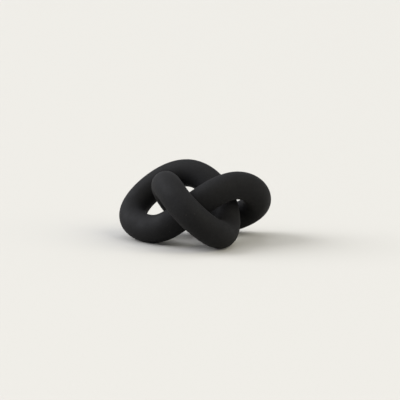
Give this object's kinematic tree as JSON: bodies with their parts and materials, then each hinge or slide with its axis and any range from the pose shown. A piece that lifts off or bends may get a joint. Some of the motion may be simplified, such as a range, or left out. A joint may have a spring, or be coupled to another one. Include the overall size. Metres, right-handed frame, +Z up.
{
  "type": "ceramic knot sculpture",
  "caption": "Free-standing matte black ceramic ornament: a thick hollow round tube tied in a trefoil knot and joined end to end, resting on ground flats.",
  "frame": {"origin": "on the surface that the sculpture stands on, under the middle of its bounding box", "axes": "+X to the right along the length, +Y from the front to the back, +Z up; the picture looks along +Y from 9 degrees above"},
  "size_m": [0.1709, 0.1534, 0.0858],
  "materials": {
    "matte_black_ceramic": "matte black engobe over slip-cast stoneware, very fine dry grain",
    "fired_slip": "fettled and fired slip under the same matte black engobe"
  },
  "bodies": {
    "root": {"left_lobe": "matte_black_ceramic", "right_lobe": "matte_black_ceramic", "front_lobe": "matte_black_ceramic", "slip_joint_left_to_right": "fired_slip", "slip_joint_right_to_front": "fired_slip", "slip_joint_front_to_left": "fired_slip"}
  },
  "joints": []
}
